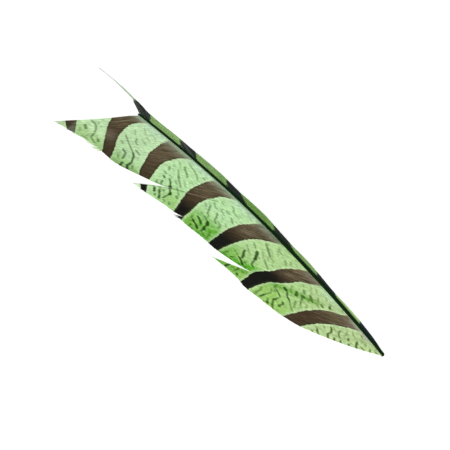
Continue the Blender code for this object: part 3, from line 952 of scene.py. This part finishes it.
# Colours of the dyed web, as they show in plain white light.
GREEN_BUTT = (0.47, 0.64, 0.30)  # towards the butt the ground colour was buff, so the green is warmer
GREEN_MIDDLE = (0.45, 0.66, 0.30)
GREEN_PALE = (0.475, 0.74, 0.385)
GREEN_FAR = (0.52, 0.74, 0.43)
# Painted light: the last lock's outer end is painted lighter to make up for the light that its lifted corner
# tilts away from.
GREEN_TAIL_PAINTED_LIGHT = (0.66, 0.87, 0.54)  # the last lock's outer end
BUFF = (0.31, 0.37, 0.13)  # patches near the butt
GREEN_FOOT_AND_SHEEN = (0.46, 0.48, 0.40)  # beside the shaft near the butt, where the web is downy, with a painted sheen on top
GREEN_WHITE_AND_SHEEN = (0.52, 0.72, 0.50)  # and further along beside it: the barbs' pale bases, with a painted sheen
GREEN_FULL = (0.285, 0.535, 0.105)
GREEN_DEEP = (0.10, 0.38, 0.02)  # patches along the margin
# Painted shade along the first lock's crease, where it lies over the second.
CREASE_SHADE_GREEN = (0.13, 0.37, 0.03)
# Painted shade along the seam between the last two locks.
SEAM_SHADE_GREEN = (0.11, 0.30, 0.05)
GREEN_TIP = (0.68, 0.80, 0.62)  # the last lock's first barb, and its tips
GREEN_UNDER = (0.42, 0.60, 0.37)
FRINGE = (0.58, 0.76, 0.45)  # pale borders of the bars and the lines
LINE_THIN = (0.11, 0.21, 0.05)
LINE_DARK = (0.018, 0.066, 0.005)
LINE_BROWN = (0.070, 0.115, 0.018)
LINE_TAIL = (0.10, 0.19, 0.05)
BAR_FOOT_AND_SHEEN = (0.185, 0.165, 0.115)  # by the shaft, towards the butt, greyed partly by a painted sheen
BAR_GREY = (0.21, 0.22, 0.15)  # and further along it, also partly a painted sheen
BAR_BROWN = (0.100, 0.076, 0.038)
BAR_DARK = (0.054, 0.034, 0.017)
BAR_RUST = (0.24, 0.165, 0.07)
BAR_STREAK = (0.23, 0.19, 0.13)
BAR_BLACK = (0.006, 0.006, 0.004)
BAR_RIM = (0.030, 0.036, 0.012)  # along their edges
WEB_LOOK = {"Roughness": 0.72, "Specular IOR Level": 0.08, "Sheen Weight": 0.05}
BARBULES = (9.0, 6.0)  # in a millimetre across the barbs and along them
BARBULE_HEIGHT = 0.00002


def finish_web(finish, colour, root, gone):
    barbules = finish.noise(root * BARBULES[0], gone * BARBULES[1], 2.0, detail=1.0)
    finish.fill(finish.shader, {"Base Color": colour, "Normal": finish.bump(barbules, BARBULE_HEIGHT)})
    return finish


def broad_finish():
    """All that it reads is in millimetres: s along the shaft, h above its centre line, edge outside the
    nearest bar, root along the shaft at the barb's foot, and gone along the barb."""
    finish = Finish("dyed_web", WEB_LOOK)
    s, h, edge = finish.layer("mark")
    root, gone, luck = finish.layer("strand")
    ridge, under, at_far = finish.layer("form")
    from_line, dark, _ = finish.layer("line")

    # Streaks that run along the barbs, and patches.
    streak = finish.noise(root * 1.9, gone * 0.07, detail=3.0, roughness=0.6) - 0.5
    fine = finish.noise(root * 5.0, gone * 0.25, 7.0) - 0.5
    veil = finish.noise(root * 0.9, gone * 0.07, 11.0)
    broad = finish.noise(s * 0.09, h * 0.12, 3.0)
    blotch = finish.noise(root * 0.5, gone * 0.16, 5.0, detail=3.0)
    mottle = finish.noise(root * 0.55 + gone * 0.12, gone * 0.5, 17.0)
    ragged = finish.noise(s * 0.5, h * 0.5, 29.0, detail=3.0) - 0.5

    # The ground: pale green by the shaft, partly a painted sheen, fuller towards the margin, deepest in
    # patches there.
    # Painted shade darkens a crease where the vane's first lock lies over the second, and the seam between
    # its last two locks, where the barbules have let go, is painted shade on the ground and a painted
    # highlight on the bars.
    by_butt = s.rise(62.0, 44.0)
    white = (s.near(40.0, 14.0) * 0.6).most(s.rise(76.0, 98.0) * 0.8)
    outer = h.rise(12.0, 25.0) * s.rise(34.0, 56.0) * s.rise(150.0, 118.0) * 0.85 * (0.45 + 1.1 * broad)
    outer = outer.most(h.rise(19.0, 23.5) * s.rise(146.0, 152.0) * (0.1 + 0.7 * broad))
    margin = h.rise(14.0, 21.0) * s.near(104.0, 32.0) * 1.15
    corner = root.rise(30.6, 31.2) * root.rise(44.0, 33.0) * gone.rise(34.0, 46.0) * 1.6
    tip = root.rise(30.6, 30.2) * s.rise(76.0, 82.0) * 0.7
    deep = margin.most(corner).most(tip) * (0.30 + blotch.rise(0.34, 0.56) * 0.6)
    # Painted shade: a deeper green band along the crease where the first lock lies over the second.
    crease = (root - gone * 0.1).near(23.6, 5.0) * s.rise(34.0, 47.0) * root.rise(32.0, 29.0)
    # Along the seam: painted shade on the ground, and a painted highlight on the bars.
    seam_shade_and_highlight = root.near(97.5, 1.3) * gone.rise(15.0, 20.0)
    faded = s.rise(193.0, 197.5).most(root.rise(97.9, 97.4) * s.rise(145.0, 147.5))
    away = from_line + fine * 0.3
    ground = finish.cover(
        GREEN_BUTT,
        (s.rise(25.0, 60.0), GREEN_MIDDLE),
        (s.rise(80.0, 105.0), GREEN_PALE),
        (s.rise(135.0, 160.0), GREEN_FAR),
        # Painted light on the last lock's lifted outer end.
        (s.rise(172.0, 178.0) * h.rise(14.0, 20.0), GREEN_TAIL_PAINTED_LIGHT),
        (mottle.rise(0.46, 0.66) * by_butt * 0.45, BUFF),
        # Pale beside the shaft: the barbs' pale bases, with a painted sheen.
        (h.rise(2.4, 1.1) * s.rise(30.0, 22.0) * s.rise(5.0, 11.0), GREEN_FOOT_AND_SHEEN),
        (h.rise(4.5, 1.5) * white, GREEN_WHITE_AND_SHEEN),
        (h.rise(6.0, 11.0) * s.near(56.0, 26.0) * 0.3, GREEN_FULL),
        (outer, GREEN_FULL),
        (deep, GREEN_DEEP),
        (crease * blotch.rise(0.20, 0.44), CREASE_SHADE_GREEN),
        (seam_shade_and_highlight * 0.95, SEAM_SHADE_GREEN),
        (edge.rise(2.0, 0.3) * 0.5, FRINGE),
        (faded * 0.8, GREEN_TIP),
        (away.near(0.90, 0.50) * dark * 0.35, FRINGE),
    )
    patchy = (mottle - 0.5) * (0.8 + 0.7 * by_butt)
    ground = finish.shade(ground, 0.94 + 0.75 * streak + 0.5 * fine + 0.12 * luck + patchy)

    # The wavy lines: greenish by the shaft, nearly black by the margin and brown by the butt.
    line = finish.cover(
        LINE_THIN,
        (h.rise(5.0, 18.0), LINE_DARK),
        (s.rise(48.0, 34.0), LINE_BROWN),
        (s.rise(165.0, 176.0), LINE_TAIL),
    )
    ground = finish.mix(away.rise(0.50, -0.30) * dark, ground, line)

    # The bars: grey by the shaft, partly a painted sheen, then brown, black where the vane is widest, with
    # paler streaks.
    rust = at_far * edge.rise(-3.2, -0.8) * h.rise(8.0, 3.0) * s.rise(74.0, 66.0)
    pale = (streak + fine * 0.5).rise(0.02, 0.22) * h.rise(15.0, 8.0)
    black = (h - (s - 70.0) * 0.1).rise(9.0, 17.0) * s.rise(50.0, 66.0) * root.rise(97.9, 97.3)
    rim = edge.rise(-1.5, -0.3) * h.rise(2.5, 6.0) * (1.0 - at_far * s.rise(126.0, 110.0))
    bar = finish.cover(
        BAR_FOOT_AND_SHEEN,
        (s.rise(45.0, 85.0), BAR_GREY),
        (h.rise(0.8, 5.5), BAR_BROWN),
        (h.rise(7.0, 15.0) * (0.9 - 0.4 * s.rise(124.0, 146.0)), BAR_DARK),
        (rust * blotch.rise(0.35, 0.60) * 0.7, BAR_RUST),
        (veil.rise(0.50, 0.68) * h.rise(15.0, 7.0) * 0.5, BAR_STREAK),
        (pale * (0.2 + 0.3 * at_far * edge.rise(-5.0, -2.0)), BAR_STREAK),
        (black, BAR_BLACK),
        (rim * 0.55, BAR_RIM),
        (s.rise(192.5, 190.5) * s.rise(183.0, 186.0) * 0.7, BAR_GREY),
        (s.near(174.5, 6.0) * h.near(17.0, 4.5) * 0.6, BAR_STREAK),
        # Painted highlight along the seam.
        (seam_shade_and_highlight * 0.5, BAR_STREAK),
    )
    bar = finish.shade(bar, (1.0 + 2.4 * streak + 1.5 * fine).most(0.3))

    # A bar's edge is ragged, and softer by the shaft, where the ground shows through the bar.
    inside = (edge + ragged * 1.1 + fine * 0.6) / (0.35 + 1.6 * h.rise(5.0, 0.5))
    thin = (0.08 + 0.27 * s.rise(60.0, 110.0) + 0.5 * s.rise(26.0, 20.0)) * h.rise(2.4, 0.9)
    # The underside shows the same marks, paler, and each barb's ridge catches a little more of the dye.
    colour = finish.cover(ground, (inside.rise(0.5, -0.5) * (1.0 - thin), bar), (under * 0.45, GREEN_UNDER))
    return finish_web(finish, finish.shade(colour, 1.02 - 0.10 * ridge), root, gone)


web = broad_finish()
for lock in build_broad_vane():
    add_piece(lock, web)


# The narrow vane. Some three hundred and forty-five shorter barbs on the shaft's other flank, swept back
# along it, so that the vane is hardly wider than the shaft. Past the shaft's far end the last of them run to
# a point.

NARROW_REACH = 0.0118  # a barb's length along the shaft
# How far the vane reaches from the shaft's centre line, by s.
NARROW_WIDTH = (
    (0.000, 0.0018), (0.009, 0.0018), (0.021, 0.0022), (0.030, 0.0021), (0.036, 0.0018), (0.042, 0.0018),
    (0.051, 0.0023), (0.060, 0.0026), (0.070, 0.0024), (0.080, 0.0029), (0.090, 0.0036), (0.100, 0.0035),
    (0.107, 0.0032), (0.120, 0.0038), (0.130, 0.0038), (0.138, 0.0036), (0.150, 0.0037), (0.160, 0.0036),
    (0.168, 0.0038), (0.175, 0.0050), (0.179, 0.0053),
)
NARROW_FOOT = 0.0007  # the barbs start this far from that line
NARROW_SWEEP = 1.35  # 1 runs straight out, more turns back along the shaft sooner
NARROW_END = 0.1784
NARROW_DROOP = 0.13  # its slope down past the shaft's edge
NARROW_SPACING = 0.0005  # between two roots
NARROW_STEPS = 18
NARROW_STRAND = 0.00016  # least width of a barb
NARROW_UNEVEN = 0.0012  # its barbs fall short by up to this
NARROW_SHINGLE = (0.00005, 0.4)  # a barb's tip lies this far below its foot, and more by up to that share
# The narrow vane's dark bars: where each starts and ends along the shaft, in millimetres, and how much
# further on it starts at the margin.
NARROW_BARS = (
    (2.0, 18.9, 12.0), (36.0, 51.0, 8.0), (67.0, 82.2, 9.0), (100.6, 114.4, 8.0), (134.4, 145.6, 3.0),
    (164.4, 190.0, 2.5),
)
NARROW_SLANT = 2.4  # how much further on they end there
SLANT_FROM = (0.9, 3.5)  # they slant between these distances from the shaft's centre line
NARROW_SLIP = 0.8  # a barb's marks lie off by up to half of this


def narrow_path(roots, reached):
    """Plan places and heights of the middles of the narrow vane's barbs."""
    s = roots + reached
    at = np.minimum(s, SHAFT_LENGTH)
    swept = 1.0 - (1.0 - np.clip(reached / NARROW_REACH, 0.0, 1.0)) ** NARROW_SWEEP
    out = between((NARROW_FOOT, read(NARROW_WIDTH, s)), swept)
    beyond = np.maximum(out - shaft_size(at)[0] / 2.0, 0.0)
    return s, shaft_side(s) - out, root_level(at) - NARROW_DROOP * beyond - SHEET_MIDDLE


def headings(s, t):
    """The way that plan paths run, each an array of path by step."""
    run, rise = np.gradient(s, axis=1), np.gradient(t, axis=1)
    length = np.hypot(run, rise)
    return run / length, rise / length


def strands_along(s, t, z, width):
    """Plan places and heights of the four edges of barbs, along plan paths that run towards the far end."""
    run, rise = headings(s, t)
    side = width[..., None] * np.array(STRAND_OFFSETS)
    edge_s, edge_t = s[..., None] + rise[..., None] * side, t[..., None] - run[..., None] * side
    return edge_s, edge_t, z[..., None] + np.array(STRAND_LIFTS)


def build_narrow_vane():
    roots = np.arange(FIRST_BARB, LAST_BARB, NARROW_SPACING)
    count = len(roots)
    ends = np.minimum(NARROW_REACH, NARROW_END - roots) - NARROW_UNEVEN * chance.random(count) ** 2
    ends = ends[:, None]
    out = np.linspace(0.0, 1.0, NARROW_STEPS + 1)[None, :]
    reached = ends * out
    s, t, z = narrow_path(roots[:, None], reached)
    # A barb is as wide as the gap to its neighbour, seen square to it.
    gap = np.maximum(NARROW_SPACING * np.abs(headings(s, t)[1]), NARROW_STRAND) * STRAND_OVERLAP
    width = gap * tip_widths(ends - reached)
    shingle = NARROW_SHINGLE[0] * (out - 0.5) * (1.0 + NARROW_SHINGLE[1] * chance.random(count)[:, None])
    s, t, z = strands_along(s, t, z - shingle, width)
    luck = chance.random(count)
    across = (shaft_side(s) - t) * MM
    share = np.clip((across - SLANT_FROM[0]) / (SLANT_FROM[1] - SLANT_FROM[0]), 0.0, 1.0)
    here = s * MM + NARROW_SLIP * (luck[:, None, None] - 0.5)
    from_bar = np.full(here.shape, np.inf)
    for start, stop, slant in NARROW_BARS:
        into, past = start + slant * share - here, here - stop - NARROW_SLANT * share
        from_bar = np.minimum(from_bar, np.maximum(into, past))
    layers = barb_layers((s * MM, across, from_bar), roots, reached, luck, 0.0)
    return closed_strips("narrow_vane", in_part(s, t, z), layers)


NARROW_GREEN = (0.17, 0.31, 0.10)
NARROW_DEEP = (0.105, 0.235, 0.040)
NARROW_FRINGE = (0.30, 0.47, 0.17)
NARROW_DARK = (0.018, 0.024, 0.020)
NARROW_NAVY = (0.018, 0.022, 0.034)
NARROW_GREY = (0.16, 0.17, 0.15)


def narrow_finish():
    finish = Finish("dyed_edge", WEB_LOOK)
    s, across, edge = finish.layer("mark")
    root, gone, luck = finish.layer("strand")
    _, under, _ = finish.layer("form")
    streak = finish.noise(root * 1.1, gone * 0.12, detail=3.0, roughness=0.6) - 0.5
    speckle = finish.noise(s * 1.1, across * 1.6, 41.0)
    green = finish.cover(
        NARROW_GREEN,
        (s.near(97.0, 32.0), NARROW_DEEP),
        (speckle.rise(0.40, 0.62) * (0.3 + 0.5 * s.rise(105.0, 160.0)), NARROW_FRINGE),
        (across.rise(1.1, 1.9) * s.rise(50.0, 32.0) * 0.7, GREEN_BUTT),
    )
    dark = finish.cover(
        NARROW_DARK,
        (s.rise(60.0, 40.0), NARROW_NAVY),
        (luck.rise(0.78, 0.95) * s.rise(110.0, 130.0) * 0.5, NARROW_GREY),
    )
    inside = (edge + (speckle - 0.5) * 3.0 + streak * 2.0).rise(0.7, -0.7)
    # The barbs' feet by the shaft are painted black: painted shade where they meet the shaft.
    colour = finish.cover(green, (inside, dark), (across.rise(1.05, 0.8), HORN_BLACK))
    colour = finish.shade(colour, 0.95 + 1.3 * streak + 0.2 * luck)
    return finish_web(finish, finish.mix(under * 0.3, colour, GREEN_UNDER), root, gone)


add_piece(build_narrow_vane(), narrow_finish())


# Loose barbs. The narrow vane's last barb runs on far past its end as a thin thread, and along the broad
# vane's margin single barbs that have lost their barbules stand out past the others.

# The long barb past the narrow vane: places in the plan and its height.
LONG_BARB = (
    (0.1690, -0.00175, 0.00185), (0.1735, -0.00315, 0.00140), (0.1783, -0.00385, 0.00085),
    (0.1850, -0.00400, 0.00062), (0.1935, -0.00370, 0.00056), (0.2020, -0.00280, 0.00050),
)
LONG_WIDTHS = (0.00090, 0.00070)  # at its start and its tip
LONG_TAPER = 0.7  # below 1 it narrows most by its start, and above 1 by its tip
COMPANIONS = ((0.1815, 0.00016), (0.1872, -0.00012), (0.1905, 0.00010))  # shorter ones beside it: end, aside
LOOSE_STEPS = 24
# Strays: the roots that they grow from, how many there are, and how far past the margin the longest reaches.
STRAYS = (
    (0.002, 0.028, 12, 0.0010), (0.0290, 0.0304, 3, 0.0018), (0.033, 0.090, 24, 0.0010),
    (0.0600, 0.0650, 6, 0.0022), (0.0945, 0.0970, 3, 0.0014), (0.1000, 0.1120, 8, 0.0014),
    (0.1250, 0.1400, 26, 0.0034), (0.1400, 0.1600, 14, 0.0014),
)
STRAY_SHORTEST = 0.25  # against the longest
STRAY_FEW_LONG = 1.5  # more makes fewer of them long
STRAY_BEFORE = 0.0012  # a stray lies on the sheet over this length before the margin
STRAY_WIDTHS = (0.00018, 0.00008)
STRAY_TAPER = 1.5
STRAY_LIFT = 0.00009
STRAY_BEND = (radians(5.0), 0.3)  # how far they bend, and the share of them that bend towards the shaft
STRAY_FREE = 0.001  # they bend from this far before the margin
THREAD_LUCK = 0.2  # by their luck the material tells the threads from the strays
STRAY_LUCK = (0.6, 1.0)


def build_loose_barbs():
    share = np.linspace(0.0, 1.0, LOOSE_STEPS + 1)
    start = LONG_BARB[0][0]
    paths = []
    for end, aside in ((LONG_BARB[-1][0], 0.0), *COMPANIONS):
        s = between((start, end), share)
        t, z = smooth_read(LONG_BARB, s).T
        fan = (s - start) / (end - start)
        paths.append((s, t + aside * fan, z, between(LONG_WIDTHS, fan**LONG_TAPER), THREAD_LUCK))
    for first, last, count, longest in STRAYS:
        roots = between((first, last), chance.random(count))
        lengths = barb_lengths(roots, lock_numbers(roots))[:, None]
        reach = STRAY_SHORTEST + (1.0 - STRAY_SHORTEST) * chance.random(count) ** STRAY_FEW_LONG
        reached = lengths - STRAY_BEFORE + (STRAY_BEFORE + (longest * reach)[:, None]) * share
        s, t = trace(roots, roots, reached)
        bend = STRAY_BEND[0] * (chance.random(count) - STRAY_BEND[1])[:, None]
        t = t + bend * np.clip(reached - lengths + STRAY_FREE, 0.0, None)
        z = sheet_height(roots, lengths, np.minimum(reached, lengths)) + STRAY_LIFT
        width = between(STRAY_WIDTHS, share**STRAY_TAPER)
        paths.extend((*path, width, between(STRAY_LUCK, chance.random())) for path in zip(s, t, z))
    s, t, z, width = (np.array([path[k] for path in paths]) for k in range(4))
    luck = np.array([path[4] for path in paths])[:, None, None]
    edges = in_part(*strands_along(s, t, z, width))
    from_bar = bar_distance(s * MM, t * MM)[0]
    layers = {"loose": layer(edges.shape[:3], s[..., None] * MM, luck, from_bar[..., None])}
    return closed_strips("loose_barbs", edges, layers)


LOOSE_DARK = (0.035, 0.045, 0.035)
LOOSE_GREEN = (0.38, 0.50, 0.34)
LOOSE_GREY = (0.66, 0.70, 0.66)
LOOSE_PALE = (0.56, 0.72, 0.46)


def loose_finish():
    finish = Finish("dyed_thread", {"Roughness": 0.7, "Specular IOR Level": 0.1})
    s, luck, edge = finish.layer("loose")
    thread = finish.cover(LOOSE_DARK, (s.rise(176.5, 179.5), LOOSE_GREEN), (s.rise(183.0, 196.0), LOOSE_GREY))
    stray = finish.mix(edge.rise(0.3, -0.3), LOOSE_PALE, LOOSE_DARK)
    colour = finish.mix(luck.rise(0.4, 0.5), thread, stray)
    grain = finish.noise(s * 1.4, luck * 9.0)
    finish.fill(finish.shader, {"Base Color": finish.shade(colour, 0.75 + grain * 0.5)})
    return finish


add_piece(build_loose_barbs(), loose_finish())


# The floor, the light and the camera. The photograph looks straight down on a plain white surface, in soft
# light that leaves hardly a shadow.

FLOOR_HALF = 3.0
FLOOR_LEVEL = -0.0001
PAPER = {"Base Color": (0.5, 0.5, 0.5), "Roughness": 0.9, "Specular IOR Level": 0.0}
# The photograph's paper is lit by itself from behind, so that no shadow shows on it.
PAPER_GLOW = {"Emission Color": (1.0, 1.0, 1.0), "Emission Strength": 0.7}
SKY_STRENGTH = 0.80
SOFTBOX_PLACE = (-0.35, 0.45, 0.75)
SOFTBOX_SIZE, SOFTBOX_POWER = 0.8, 4.2
PHOTO_WIDTH = 0.225  # what the photograph spans, at the feather's level
PHOTO_CENTRE = (0.10155, 0.00906)  # in the plan
PHOTO_LEVEL = 0.0023  # and that level
PHOTO_TURN = radians(-135.47)
LENS, SENSOR = 85.0, 36.0


paper = bpy.data.meshes.new("floor")
corners = [(x * FLOOR_HALF, y * FLOOR_HALF, FLOOR_LEVEL) for x, y in ((-1, -1), (1, -1), (1, 1), (-1, 1))]
paper.from_pydata(corners, [], [(0, 1, 2, 3)])
paper.materials.append(Finish("floor_paper", {**PAPER, **PAPER_GLOW}).material)
add_object("floor", paper)

world = bpy.data.worlds.new("studio")
world.use_nodes = True
sky = world.node_tree.nodes["Background"].inputs
sky["Color"].default_value = (1.0, 1.0, 1.0, 1.0)
sky["Strength"].default_value = SKY_STRENGTH
bpy.context.scene.world = world

softbox = bpy.data.lights.new("softbox", "AREA")
softbox.energy = SOFTBOX_POWER
softbox.size = SOFTBOX_SIZE
lamp = add_object("softbox", softbox)
lamp.location = SOFTBOX_PLACE
lamp.rotation_euler = (-lamp.location).to_track_quat("-Z", "Y").to_euler()

camera_data = bpy.data.cameras.new("camera")
camera_data.lens = LENS
camera_data.sensor_width = SENSOR
camera = add_object("camera", camera_data)
camera.location = in_part(*PHOTO_CENTRE, PHOTO_LEVEL + PHOTO_WIDTH * LENS / SENSOR).tolist()
camera.rotation_euler = (0.0, 0.0, PHOTO_TURN)
bpy.context.scene.camera = camera
bpy.context.scene.view_settings.view_transform = "Standard"
